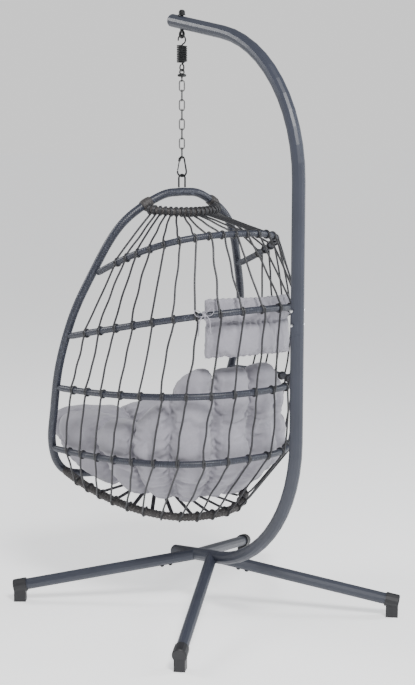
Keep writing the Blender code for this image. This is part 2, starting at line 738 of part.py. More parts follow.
def cord_points():
    """Where every cord touches the crown, each band and the bottom ring, on the outside of the wraps."""
    crown = crown_path(14)[2:-2]
    levels = [even_points(crown, [i / (CORDS - 1) for i in range(CORDS)])]
    tangents = [[X * -1] * CORDS]
    for name in BANDS:
        path = band_path(name)[1:-1]
        margin = CORD_MARGINS[name]
        shares = [margin + (1 - 2 * margin) * i / (CORDS - 1) for i in range(CORDS)]
        levels.append(even_points(path, shares))
        ahead = even_points(path, [share + 0.01 for share in shares])
        tangents.append([(b - a).normalized() for a, b in zip(levels[-1], ahead)])
    middle = hoop_point(0, CROWN_S, 0.004)
    reach = CROWN_R + CORD_R + GAP
    made = [[p + Vector((p.x - middle.x, p.y - middle.y, 0)).normalized() * reach for p in levels[0]]]
    for level, name in enumerate(BANDS, 1):
        reach = band_radius(name) + WRAP + WRAP_GAP + CORD_R * 0.35
        row = []
        for i in range(CORDS):
            here, along = levels[level][i], tangents[level][i]
            arriving = across(here - levels[level - 1][i], along)
            leaving = across(levels[level + 1][i] - here, along) if level < len(BANDS) else arriving
            out = across(here - hoop_point(0, BANDS[name][0], 0.12), along)
            lean = (arriving - leaving + out * 0.4).normalized()
            row.append(here + lean * reach / math.cos(arriving.angle(leaving) / 2))
        made.append(row)
    return made


def across(direction, along):
    """The part of a direction square to another one, as a unit vector."""
    return (direction - along * direction.dot(along)).normalized()


def make_net(name, upper, lower, band):
    """The wrap on a band and the cords that rise from it towards the band above."""
    radius = band_radius(band)
    look = brown_wicker() if band == "bottom_ring" else slate_wicker()
    path = band_path(band)[1:-1]
    net = sweep(name, path, radius + WRAP + WRAP_GAP, look, 8, radius + WRAP_GAP)
    for i, (top, foot) in enumerate(zip(upper, lower)):
        fall = (foot - top).normalized()
        start = top + fall * (0.015 if name != "cord_net_1" else 0.001)
        cord = rod(f"{name}_cord_{i}", start, foot, CORD_R, sides=5, hidden=True)
        boolean(net, cord, "UNION")


def make_straps():
    """Flat straps from a plate under the seat to the bottom ring, as one thin sheet."""
    ring = band_path("bottom_ring", RING_R + WRAP + WRAP_GAP + 0.0035)[3:-3]
    down, half_width, tilt, depth, _square = BANDS["bottom_ring"]
    back = Vector((0, math.cos(tilt), math.sin(tilt)))
    normal = X.cross(back)
    centre = hoop_point(0, down, EAR_OFFSET) + back * depth * 0.30
    outline, tips = [], []
    for point in even_points(ring, [(i + 0.7) / (STRAPS + 0.4) for i in range(STRAPS)]):
        along = (point - centre).normalized()
        across = normal.cross(along) * STRAP_WIDTH / 2
        base = centre + along * STRAP_PLATE_R
        outline += [base - across, point - across, point + across, base + across]
        tips.append(len(outline) - 3)
    for i in range(1, 8):
        turn = math.pi + math.pi * i / 8
        outline.append(centre + (X * math.cos(turn) + back * math.sin(turn)) * STRAP_PLATE_R)
    count = len(outline)
    half = normal * STRAP_THICKNESS / 2
    verts = [p - half for p in outline] + [p + half for p in outline] + [centre - half, centre + half]
    faces = []
    for i in range(count):
        j = (i + 1) % count
        faces.append((i, j, count + j, count + i))
        if i in tips:
            faces.append((i - 1, i + 2, i + 1, i))
            faces.append((count + i - 1, count + i, count + i + 1, count + i + 2))
            faces.append((2 * count, i + 2, i - 1))
            faces.append((2 * count + 1, count + i - 1, count + i + 2))
        elif i + 1 not in tips and i - 1 not in tips:
            faces.append((2 * count, j, i))
            faces.append((2 * count + 1, count + i, count + j))
    add_mesh("bottom_straps", verts, faces, brown_wicker())


def make_basket():
    make_hoop()
    make_crown()
    rows = cord_points()
    for i, band in enumerate(BANDS):
        make_band(band)
        make_net(f"cord_net_{i + 1}", rows[i], rows[i + 1], band)
    make_straps()


# --- Cushions ------------------------------------------------------------------------------
def bowl_radius(angle, height):
    """The room inside the bands in a level direction; angle 0 is +X and 90 degrees is the back."""
    swell = math.sin(min(1.0, max(0.0, (height - CUSHION_FLOOR_Z) / 0.20)) * math.pi / 2)
    low = 0.70 - 0.14 * math.sin(angle)
    front = math.sin(angle) < 0
    reach, square = (CUSHION_FRONT, 5.0) if front else (CUSHION_BACK, 2.5)
    c, s = abs(math.cos(angle)) / CUSHION_SIDE, abs(math.sin(angle)) / reach
    return (c**square + s**square) ** (-1 / square) * (low + (1 - low) * swell)


def make_cushion():
    """A thick bowl: low at the front, level at the sides and high at the back."""
    around, levels = 36, 4
    centre = Vector((0, HANG_Y + 0.005, 0))
    verts, faces = [], []

    def rim_height(angle):
        back = max(0.0, math.sin(angle)) ** 2
        front = max(0.0, -math.sin(angle))
        return CUSHION_SIDE_Z + (CUSHION_BACK_Z - CUSHION_SIDE_Z) * back - (CUSHION_SIDE_Z - CUSHION_FRONT_Z) * front

    rings = []
    for i in range(levels + 1):
        rings.append(("out", i / levels))
    for i in range(levels + 1):
        rings.append(("in", 1 - i / levels))
    for kind, share in rings:
        for k in range(around):
            angle = 2 * math.pi * k / around
            top = rim_height(angle)
            level = Vector((math.cos(angle), math.sin(angle), 0))
            if kind == "out":
                z = CUSHION_FLOOR_Z + (top - 0.03 - CUSHION_FLOOR_Z) * share
                radius = bowl_radius(angle, z)
                z -= CUSHION_FLOOR_SLOPE * (1 - share) * radius * math.sin(angle)
            else:
                z = CUSHION_SEAT_Z + (top - CUSHION_SEAT_Z) * share
                thickness = CUSHION_BACK_THICKNESS
                thickness += (CUSHION_FRONT_THICKNESS - CUSHION_BACK_THICKNESS) * (1 - math.sin(angle)) / 2
                radius = bowl_radius(angle, z) - thickness + 0.025 * (share == 1)
                if share == 0:
                    radius *= 0.75
            verts.append(centre + level * radius + Z * z)
    total = len(rings)
    for i in range(total - 1):
        for k in range(around):
            m = (k + 1) % around
            faces.append((i * around + k, i * around + m, (i + 1) * around + m, (i + 1) * around + k))
    faces.append(tuple(range(around))[::-1])
    faces.append(tuple((total - 1) * around + k for k in range(around)))
    add_mesh("seat_cushion", verts, faces, grey_fabric())


def make_pillow():
    """A flat cushion with pillowed faces, and the ties that hold it on the second band."""
    width, thickness, height = PILLOW_SIZE
    columns, rows = 10, 6
    verts, faces = [], []
    for sign in (-1, 1):
        for j in range(rows + 1):
            for i in range(columns + 1):
                u, v = 2 * i / columns - 1, 2 * j / rows - 1
                fill = ((1 - u**4) * (1 - v**4)) ** 0.5
                depth = sign * (0.006 + (thickness / 2 - 0.006) * fill) - PILLOW_BEND * u * u
                verts.append(Vector((u * width / 2, PILLOW_Y + depth, PILLOW_Z + v * height / 2)))
    side = (rows + 1) * (columns + 1)

    def index(layer, i, j):
        return layer * side + j * (columns + 1) + i

    for j in range(rows):
        for i in range(columns):
            front = (index(0, i, j), index(0, i + 1, j), index(0, i + 1, j + 1), index(0, i, j + 1))
            faces.append(front)
            faces.append(tuple(v + side for v in front[::-1]))
    edge = [(i, 0) for i in range(columns)] + [(columns, j) for j in range(rows)]
    edge += [(i, rows) for i in range(columns, 0, -1)] + [(0, j) for j in range(rows, 0, -1)]
    for a, b in zip(edge, edge[1:] + edge[:1]):
        faces.append((index(0, *b), index(0, *a), index(1, *a), index(1, *b)))
    add_mesh("headrest_pillow", verts, faces, grey_fabric())
    band = band_path("band_2")
    tilt = BANDS["band_2"][2]
    for side_name, place in (("left", TIE_SHARE), ("right", 1 - TIE_SHARE)):
        near, ahead = even_points(band, [place, place + 0.01])
        along = (ahead - near).normalized()
        up = Vector((0, -math.sin(tilt), math.cos(tilt)))
        loop = arc(near, BAND_R + WRAP + WRAP_GAP + 0.003, 0, 2 * math.pi, 14, up.cross(along), up)[:-1]
        sweep(f"pillow_tie_{side_name}", loop, 0.002, grey_fabric(), 6, closed=True)


def main():
    for old in list(bpy.data.objects):
        bpy.data.objects.remove(old, do_unlink=True)
    make_stand()
    make_hanger()
    make_basket()
    make_cushion()
    make_pillow()


main()
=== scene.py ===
"""The looks of the hanging egg chair: wrapped hoop and bands, lashed cords, stuffed cushions and finishes."""

import json
import math
import random

import bpy
import numpy as np
from mathutils import Matrix, Vector


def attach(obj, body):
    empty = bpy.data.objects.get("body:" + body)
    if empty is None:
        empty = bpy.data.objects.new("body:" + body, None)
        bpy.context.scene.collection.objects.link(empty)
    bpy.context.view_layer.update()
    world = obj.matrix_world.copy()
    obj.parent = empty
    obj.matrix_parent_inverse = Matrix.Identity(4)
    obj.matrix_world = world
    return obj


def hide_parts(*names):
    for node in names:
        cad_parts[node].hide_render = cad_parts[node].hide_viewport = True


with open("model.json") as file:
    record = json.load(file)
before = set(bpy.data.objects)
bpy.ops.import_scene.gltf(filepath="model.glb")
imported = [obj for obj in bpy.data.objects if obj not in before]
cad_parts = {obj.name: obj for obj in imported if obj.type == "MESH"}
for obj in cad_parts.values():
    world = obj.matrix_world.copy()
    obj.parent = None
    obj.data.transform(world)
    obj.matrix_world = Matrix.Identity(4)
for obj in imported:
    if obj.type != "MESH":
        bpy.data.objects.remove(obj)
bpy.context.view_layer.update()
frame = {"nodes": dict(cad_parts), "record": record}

X, Y, Z = Vector((1, 0, 0)), Vector((0, 1, 0)), Vector((0, 0, 1))

# --- Places that the frame fixes (metres) ----------------------------------------------------
HANG_Y = -0.0987
HOOP_LEAN = math.radians(18)
APEX_Z = 1.377
HOOP_R = 0.0125
HOOP_OUTLINE = (
    (0.0, 0.0),
    (0.075, 0.009),
    (0.175, 0.066),
    (0.240, 0.140),
    (0.296, 0.270),
    (0.345, 0.420),
    (0.3665, 0.600),
    (0.358, 0.770),
    (0.345, 0.890),
    (0.300, 0.985),
    (0.215, 1.030),
    (0.0, 1.045),
)
EAR_OFFSET = 0.022
BAND_R = 0.0085
RING_R = 0.0110
# Bands from the top: distance down the hoop, half width, tilt up towards the back, depth, squareness
BANDS = {
    "band_1": (0.262, 0.290, math.radians(21), 0.371, 2.8),
    "band_2": (0.484, 0.358, math.radians(12), 0.571, 2.2),
    "band_3": (0.672, 0.366, math.radians(3), 0.580, 2.4),
    "band_4": (0.903, 0.345, math.radians(2.8), 0.622, 2.7),
    "bottom_ring": (0.994, 0.292, math.radians(-13), 0.470, 2.4),
}
CROWN_S = 0.052
CROWN_HALF_WIDTH = 0.136
CROWN_DEPTH = 0.090
CROWN_R = 0.0105
CROWN_SAG = 0.012
CORDS = 19
CORD_R = 0.0033
CORD_STAND_OFF = 0.35  # how far a cord's axis stands off the band, in cord radii
LOOP_STEPS, SPAN_STEPS = 26, 14
CORD_MARGINS = {"band_1": 0.085, "band_2": 0.045, "band_3": 0.035, "band_4": 0.035, "bottom_ring": 0.055}
BAND_WRAP = 0.0022  # how far the rattan stands off a band
RING_WRAP = 0.0030
WRAP_STEP = 0.0014  # length of one ring of faces along a wrap
TIE_SHARE = 0.372


# --- Node helpers ----------------------------------------------------------------------------
def node(tree, kind, **values):
    made = tree.nodes.new(kind)
    for key, value in values.items():
        if hasattr(made, key):
            setattr(made, key, value)
        else:
            made.inputs[key.replace("_", " ").title().replace("Of", "of")].default_value = value
    return made


def principled(name, colour, roughness, metallic=0.0, **extra):
    """A Principled material with constants on its own sockets. Returns material, tree and shader."""
    made = bpy.data.materials.new(name)
    made.use_nodes = True
    shader = made.node_tree.nodes["Principled BSDF"]
    shader.inputs["Base Color"].default_value = (*colour, 1.0)
    shader.inputs["Roughness"].default_value = roughness
    shader.inputs["Metallic"].default_value = metallic
    for key, value in extra.items():
        shader.inputs[key.replace("_", " ").title()].default_value = value
    return made, made.node_tree, shader


def noise_at(tree, scale, detail=4.0, where="Object", stretch=(1, 1, 1)):
    place = node(tree, "ShaderNodeTexCoord")
    mapping = node(tree, "ShaderNodeMapping")
    mapping.inputs["Scale"].default_value = stretch
    texture = node(tree, "ShaderNodeTexNoise")
    texture.inputs["Scale"].default_value = scale
    texture.inputs["Detail"].default_value = detail
    tree.links.new(place.outputs[where], mapping.inputs["Vector"])
    tree.links.new(mapping.outputs["Vector"], texture.inputs["Vector"])
    return texture.outputs["Fac"]


def ramp(tree, value, stops):
    """Colours at places along a value."""
    made = node(tree, "ShaderNodeValToRGB")
    elements = made.color_ramp.elements
    while len(elements) < len(stops):
        elements.new(0.5)
    for element, (place, colour) in zip(elements, stops):
        element.position = place
        element.color = (*colour, 1.0)
    tree.links.new(value, made.inputs["Fac"])
    return made.outputs["Color"]


def shade(colour, amount):
    return tuple(min(1.0, c * amount) for c in colour)


def span(tree, value, low, high):
    """A value from 0 to 1 mapped to a range."""
    made = node(tree, "ShaderNodeMapRange")
    made.inputs["To Min"].default_value = low
    made.inputs["To Max"].default_value = high
    tree.links.new(value, made.inputs["Value"])
    return made.outputs["Result"]


def maths(tree, operation, a, b=None):
    made = node(tree, "ShaderNodeMath", operation=operation)
    for socket, value in zip(made.inputs, (a, b)):
        if isinstance(value, (int, float)):
            socket.default_value = value
        elif value is not None:
            tree.links.new(value, socket)
    return made.outputs["Value"]


def bump(tree, shader, height, distance, strength=1.0):
    made = node(tree, "ShaderNodeBump")
    made.inputs["Distance"].default_value = distance
    made.inputs["Strength"].default_value = strength
    tree.links.new(height, made.inputs["Height"])
    tree.links.new(made.outputs["Normal"], shader.inputs["Normal"])


# --- Materials -------------------------------------------------------------------------------
SLATE = (0.030, 0.034, 0.049)
BLACK = (0.005, 0.0055, 0.006)
STRAND = (0.020, 0.020, 0.023)
SLATE_STRIP = (0.026, 0.029, 0.043)
BROWN_STRIP = (0.042, 0.038, 0.038)
FABRIC = (0.300, 0.290, 0.330)


def powder_coat():
    """Satin powder coat: fine orange peel, faint clouding and dust."""
    made, tree, shader = principled("slate_powder_coat", SLATE, 0.42)
    clouds = noise_at(tree, 7.0, 3.0)
    colour = ramp(tree, clouds, ((0.25, shade(SLATE, 0.90)), (0.75, shade(SLATE, 1.12))))
    tree.links.new(colour, shader.inputs["Base Color"])
    tree.links.new(span(tree, noise_at(tree, 60.0), 0.37, 0.48), shader.inputs["Roughness"])
    bump(tree, shader, noise_at(tree, 620.0, 2.0), 0.0003, 0.25)
    return made


def moulded_plastic(name, colour, roughness):
    """Spark-eroded plastic: a fine grain and slight scuffing."""
    made, tree, shader = principled(name, colour, roughness)
    scuffs = noise_at(tree, 45.0, 6.0)
    scuffed = ramp(tree, scuffs, ((0.3, colour), (0.8, shade(colour, 1.6))))
    tree.links.new(scuffed, shader.inputs["Base Color"])
    tree.links.new(span(tree, scuffs, roughness - 0.08, roughness + 0.12), shader.inputs["Roughness"])
    bump(tree, shader, noise_at(tree, 1400.0, 2.0), 0.0002, 0.3)
    return made


def black_finish():
    """Black-coated steel wire, rubbed slightly lighter where links touch."""
    made, tree, shader = principled("black_coated_steel", BLACK, 0.42)
    shader.inputs["Specular IOR Level"].default_value = 0.3
    worn = noise_at(tree, 160.0, 5.0)
    tree.links.new(ramp(tree, worn, ((0.45, BLACK), (0.8, shade(BLACK, 3.2)))), shader.inputs["Base Color"])
    tree.links.new(span(tree, worn, 0.36, 0.56), shader.inputs["Roughness"])
    bump(tree, shader, noise_at(tree, 900.0, 2.0), 0.0001, 0.3)
    return made


def bright_steel():
    made, tree, shader = principled("bright_zinc_steel", (0.66, 0.67, 0.69), 0.26, 1.0)
    brushed = noise_at(tree, 700.0, 3.0, stretch=(1, 12, 1))
    tree.links.new(span(tree, brushed, 0.2, 0.38), shader.inputs["Roughness"])
    bump(tree, shader, brushed, 0.0001, 0.2)
    return made


def rattan(name, colour, painted_glint, pitch, roughness, glint_amount=0.5):
    """Extruded rattan strip wound on a tube: lengthwise fibres, darker joints and painted glints, small light
    spots scattered at random.

    The map runs along the tube in metres and once round it."""
    made, tree, shader = principled(name, colour, roughness)
    place = node(tree, "ShaderNodeUVMap", uv_map="Wrap")
    split = node(tree, "ShaderNodeSeparateXYZ")
    tree.links.new(place.outputs["UV"], split.inputs["Vector"])
    turns = maths(tree, "ADD", maths(tree, "MULTIPLY", split.outputs["X"], 1.0 / pitch), split.outputs["Y"])
    strip = maths(tree, "FRACT", turns)
    edge = maths(tree, "ABSOLUTE", maths(tree, "SUBTRACT", strip, 0.5))
    joint = span(tree, maths(tree, "POWER", maths(tree, "MULTIPLY", edge, 2.0), 8.0), 0.0, 1.0)
    fibres = noise_at(tree, 420.0, 5.0, stretch=(1.0, 1.0, 0.35))
    light = noise_at(tree, 260.0, 2.0)
    body = ramp(tree, fibres, ((0.30, shade(colour, 0.72)), (0.55, colour), (0.78, shade(colour, 1.35))))
    # painted glints: light spots at random, mixed into the colour to stand in for highlights on the strip
    glint_spots = ramp(tree, light, ((0.60, (0, 0, 0)), (0.70, (1, 1, 1))))
    glinted = node(tree, "ShaderNodeMix", data_type="RGBA")
    tree.links.new(maths(tree, "MULTIPLY", glint_spots, glint_amount), glinted.inputs["Factor"])
    tree.links.new(body, glinted.inputs["A"])
    glinted.inputs["B"].default_value = (*painted_glint, 1.0)
    dark = node(tree, "ShaderNodeMix", data_type="RGBA")
    tree.links.new(maths(tree, "MULTIPLY", joint, 0.75), dark.inputs["Factor"])
    tree.links.new(glinted.outputs["Result"], dark.inputs["A"])
    dark.inputs["B"].default_value = (*shade(colour, 0.3), 1.0)
    tree.links.new(dark.outputs["Result"], shader.inputs["Base Color"])
    tree.links.new(span(tree, fibres, roughness - 0.12, roughness + 0.14), shader.inputs["Roughness"])
    bump(tree, shader, fibres, 0.0004, 0.5)
    return made


def strand_finish():
    """Round resin cord, slightly ribbed."""
    made, tree, shader = principled("strand_resin", STRAND, 0.42)
    fibres = noise_at(tree, 500.0, 4.0, stretch=(1, 1, 0.2))
    tree.links.new(
        ramp(tree, fibres, ((0.3, shade(STRAND, 0.7)), (0.75, shade(STRAND, 1.6)))), shader.inputs["Base Color"])
    tree.links.new(span(tree, fibres, 0.34, 0.56), shader.inputs["Roughness"])
    bump(tree, shader, fibres, 0.0003, 0.4)
    return made


def upholstery(name, colour):
    """Woven polyester: crossing threads, slubs, a soft sheen and faint shading in the cloth."""
    made, tree, shader = principled(name, colour, 0.82, sheen_weight=0.25, sheen_roughness=0.5)
    place = node(tree, "ShaderNodeTexCoord")
    threads = []
    for axis in ("X", "Z"):
        wave = node(tree, "ShaderNodeTexWave", bands_direction=axis)
        wave.inputs["Scale"].default_value = 210.0
        wave.inputs["Distortion"].default_value = 1.2
        wave.inputs["Detail"].default_value = 1.0
        tree.links.new(place.outputs["Object"], wave.inputs["Vector"])
        threads.append(wave.outputs["Fac"])
    weave = maths(tree, "MULTIPLY", threads[0], threads[1])
    slubs = noise_at(tree, 130.0, 4.0)
    broad = noise_at(tree, 9.0, 2.0)
    mixed = maths(tree, "ADD", maths(tree, "MULTIPLY", slubs, 0.5), maths(tree, "MULTIPLY", broad, 0.5))
    mixed = maths(tree, "ADD", mixed, maths(tree, "MULTIPLY", weave, 0.08))
    tree.links.new(
        ramp(tree, mixed, ((0.30, shade(colour, 0.88)), (0.52, colour), (0.75, shade(colour, 1.10)))),
        shader.inputs["Base Color"])
    tree.links.new(span(tree, slubs, 0.74, 0.92), shader.inputs["Roughness"])
    height = maths(tree, "ADD", weave, maths(tree, "MULTIPLY", slubs, 0.6))
    bump(tree, shader, height, 0.0005, 0.35)
    return made


# --- Mesh helpers ----------------------------------------------------------------------------
def new_piece(name, points, faces, look, body, uv=None):
    mesh = bpy.data.meshes.new(name)
    mesh.from_pydata([tuple(p) for p in points], [], faces)
    if uv is not None:
        layer = mesh.uv_layers.new(name="Wrap")
        layer.data.foreach_set("uv", np.asarray(uv, np.float32).ravel())
    mesh.validate()
    mesh.shade_smooth()
    mesh.materials.append(look)
    made = bpy.data.objects.new(name, mesh)
    bpy.context.scene.collection.objects.link(made)
    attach(made, body)
    return made


def path_frames(path, closed):
    """Arrays of points, tangents and two unit vectors across, carried along without twist."""
    path = np.asarray(path, float)
    if closed:
        spans = np.roll(path, -1, 0) - np.roll(path, 1, 0)
    else:
        spans = np.gradient(path, axis=0)
    tangents = spans / np.linalg.norm(spans, axis=1)[:, None]
    side = np.cross(tangents[0], (0.0, 0.0, 1.0))
    if np.linalg.norm(side) < 0.2:
        side = np.cross(tangents[0], (0.0, 1.0, 0.0))
    sides = []
    for tangent in tangents:
        side = side - tangent * (side @ tangent)
        side = side / np.linalg.norm(side)
        sides.append(side)
    sides = np.array(sides)
    ups = np.cross(tangents, sides)
    if closed:  # spread what twist is left over the whole loop
        first, last = sides[0], sides[-1] - tangents[0] * (sides[-1] @ tangents[0])
        left = math.atan2(last @ ups[0], last @ first)
        turn = -left * np.arange(len(path)) / len(path)
        sides, ups = (sides * np.cos(turn)[:, None] + ups * np.sin(turn)[:, None],
                      ups * np.cos(turn)[:, None] - sides * np.sin(turn)[:, None])
    return path, tangents, sides, ups


def tube(name, path, radius, look, body, sides=12, closed=False, skin=None, flat=1.0):
    """A tube along a path. skin(length, turn) adds to the radius; both are arrays over the surface."""
    path, _tangents, side, up = path_frames(path, closed)
    count = len(path)
    steps = np.linalg.norm(np.diff(path, axis=0), axis=1)
    lengths = np.concatenate([[0.0], np.cumsum(steps)])
    turn = np.arange(sides) / sides
    radii = np.broadcast_to(np.asarray(radius, float), (count,))[:, None] * np.ones((1, sides))
    if skin is not None:
        radii = radii + skin(lengths[:, None], turn[None, :])
    cos, sin = np.cos(2 * np.pi * turn), np.sin(2 * np.pi * turn) * flat
    verts = path[:, None, :] + radii[:, :, None] * (
        side[:, None, :] * cos[None, :, None] + up[:, None, :] * sin[None, :, None])
    verts = verts.reshape(-1, 3)
    faces, uv = [], []
    total = count if closed else count - 1
    loop = lengths[-1] + (np.linalg.norm(path[0] - path[-1]) if closed else 0.0)
    for i in range(total):
        j = (i + 1) % count
        here, there = lengths[i], (loop if j == 0 else lengths[j])
        for k in range(sides):
            m = (k + 1) % sides
            faces.append((i * sides + k, i * sides + m, j * sides + m, j * sides + k))
            a, b = k / sides, (k + 1) / sides
            uv += [(here, a), (here, b), (there, b), (there, a)]
    if not closed:
        last = (count - 1) * sides
        faces.append(tuple(range(sides))[::-1])
        faces.append(tuple(last + k for k in range(sides)))
        uv += [(0.0, k / sides) for k in range(sides)][::-1]
        uv += [(loop, k / sides) for k in range(sides)]
    return new_piece(name, verts, faces, look, body, uv)


def smooth_curve(points, steps):
    """A Catmull-Rom curve through points."""
    path = [Vector(p) for p in points]
    path = [path[0] * 2 - path[1]] + path + [path[-1] * 2 - path[-2]]
    made = []
    for i in range(1, len(path) - 2):
        a, b, c, d = path[i - 1 : i + 3]
        for k in range(steps):
            t = k / steps
            bend = (2 * a - 5 * b + 4 * c - d) * t * t + (3 * b - a - 3 * c + d) * t**3
            made.append(0.5 * (2 * b + (c - a) * t + bend))
    made.append(path[-2])
    return made


def respaced(path, step, closed=False):
    """The same path with even steps of about one length."""
    points = np.array([tuple(p) for p in path], float)
    if closed:
        points = np.vstack([points, points[:1]])
    lengths = np.concatenate([[0], np.cumsum(np.linalg.norm(np.diff(points, axis=0), axis=1))])
    count = max(2, int(round(lengths[-1] / step)))
    want = np.linspace(0, lengths[-1], count + 1)
    made = np.stack([np.interp(want, lengths, points[:, k]) for k in range(3)], axis=1)
    return made[:-1] if closed else made


def even_points(path, shares):
    lengths = [0.0]
    for a, b in zip(path, path[1:]):
        lengths.append(lengths[-1] + (b - a).length)
    made = []
    for share in shares:
        want = share * lengths[-1]
        i = max(k for k in range(len(path) - 1) if lengths[k] <= want or k == 0)
        t = (want - lengths[i]) / (lengths[i + 1] - lengths[i])
        made.append(path[i].lerp(path[i + 1], t))
    return made


def wound(pitch, depth, softness=6):
    """Skin of a flat strip wound round a tube, with a groove between its turns."""
    def skin(length, turn):
        strip = np.mod(length / pitch + turn, 1.0)
        return depth * (1 - np.abs(2 * strip - 1) ** softness)
    return skin


def braided(pitch, depth, count=6):
    """Skin of a woven sleeve: strips that pass over and under each other."""
    def skin(length, turn):
        one = np.sin(2 * np.pi * (length / pitch + turn * count / 2))
        two = np.sin(2 * np.pi * (length / pitch - turn * count / 2))
        ribs = np.abs(np.sin(np.pi * length / (pitch * 0.5)))
        return depth * (0.45 * np.maximum(one, two) + 0.55 * ribs)
    return skin


# --- Basket frame ----------------------------------------------------------------------------
def hoop_point(half_width, down, back=0.0):
    across = Vector((0, math.cos(HOOP_LEAN), -math.sin(HOOP_LEAN)))
    fall = Vector((0, -math.sin(HOOP_LEAN), -math.cos(HOOP_LEAN)))
    return Vector((half_width, HANG_Y, APEX_Z)) + fall * down + across * back


def hoop_line():
    """The CAD hoop's own line: its corners, three to each stretch."""
    half = smooth_curve([(w, s, 0) for w, s in HOOP_OUTLINE], 3)
    outline = [(p.x, p.y) for p in half]
    outline += [(-w, s) for w, s in outline[-2:0:-1]]
    corners = [hoop_point(w, s) for w, s in outline]
    rounded = smooth_curve([corners[-1], *corners, corners[0], corners[1]], 8)
    return rounded[8:-8]


def band_line(name):
    """A band's axis, left end to right end, as an even chain of points."""
    down, half_width, tilt, depth, square = BANDS[name]
    bolt = hoop_point(0, down, EAR_OFFSET)
    back = Vector((0, math.cos(tilt), math.sin(tilt)))
    made = []
    for i in range(241):
        t = math.pi * i / 240
        x = math.copysign(abs(math.cos(t)) ** (2 / square), math.cos(t))
        y = abs(math.sin(t)) ** (2 / square)
        made.append(bolt + X * half_width * x + back * depth * y)
    return made


def band_radius(name):
    return RING_R + RING_WRAP if name == "bottom_ring" else BAND_R + BAND_WRAP


def crown_line():
    start = hoop_point(0, CROWN_S, 0.004)
    made = []
    for i in range(29):
        t = math.pi * i / 28
        level = X * CROWN_HALF_WIDTH * math.cos(t) + Y * CROWN_DEPTH * math.sin(t)
        made.append(start + level - Z * CROWN_SAG * math.sin(t))
    return made


def make_wraps(slate, brown):
    hoop = respaced(hoop_line(), WRAP_STEP, closed=True)
    tube("hoop_wrap", hoop, HOOP_R + 0.0002, slate, "basket", 20, closed=True,
         skin=wound(0.0078, 0.0011))
    for i, name in enumerate(BANDS, 1):
        line = band_line(name)
        path = respaced(even_points(line, [0.006 + 0.988 * k / 160 for k in range(161)]), WRAP_STEP)
        ring = name == "bottom_ring"
        radius = band_radius(name) - (0.0022 if ring else 0.0010)
        skin = braided(0.013, 0.0024) if ring else wound(0.0072, 0.0010)
        from_start = np.arange(len(path))
        ends = np.minimum(1.0, 0.78 + 0.22 * np.sqrt(np.minimum(from_start, from_start[::-1]) / 4))
        look, slot = (brown, "brown_wicker") if ring else (slate, "slate_wicker")
        wrap = tube(f"{name}_wrap", path, radius * ends, look, "basket", 18, skin=skin)
        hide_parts(f"cord_net_{i}")
    crown = respaced(even_points(crown_line(), [0.035 + 0.93 * k / 60 for k in range(61)]), WRAP_STEP)
    tube("crown_wrap", crown, CROWN_R + 0.0004, brown, "basket", 18,
         skin=braided(0.013, 0.0024))


def make_lashings(look):
    """Cord lashed round the hoop where each end of the crown meets it."""
    hoop = respaced(hoop_line(), WRAP_STEP, closed=True)
    for name, sign in (("left", 1), ("right", -1)):
        joint = np.array(hoop_point(sign * (CROWN_HALF_WIDTH - 0.004), CROWN_S - 0.012))
        nearest = int(np.argmin(np.linalg.norm(hoop - joint, axis=1)))
        stretch = [hoop[(nearest + k) % len(hoop)] for k in range(-13, 14)]
        bulge = [math.sqrt(max(0.0, math.sin(math.pi * k / 26))) for k in range(27)]
        swell = [HOOP_R + 0.0015 + 0.0028 * share for share in bulge]
        path = respaced(stretch, WRAP_STEP)[:27]
        tube(f"crown_lashing_{name}", path, swell, look, "basket", 20,
             skin=wound(0.0055, 0.0022))


def net_levels():
    """Each cord's place on the crown, every band and the bottom ring, with the line's direction there."""
    crown = crown_line()
    inner = even_points(crown, [0.06 + 0.88 * i / (CORDS - 1) for i in range(CORDS)])
    ahead = even_points(crown, [0.065 + 0.88 * i / (CORDS - 1) for i in range(CORDS)])
    levels = [[(p, (q - p).normalized(), CROWN_R + 0.002) for p, q in zip(inner, ahead)]]
    for name in BANDS:
        line = even_points(band_line(name), [0.024 + 0.952 * k / 190 for k in range(191)])
        margin = CORD_MARGINS[name]
        shares = [margin + (1 - 2 * margin) * i / (CORDS - 1) for i in range(CORDS)]
        here = even_points(line, shares)
        near = even_points(line, [share + 0.004 for share in shares])
        levels.append([(p, (q - p).normalized(), band_radius(name)) for p, q in zip(here, near)])
    return levels


def across(direction, along):
    return (direction - along * direction.dot(along)).normalized()


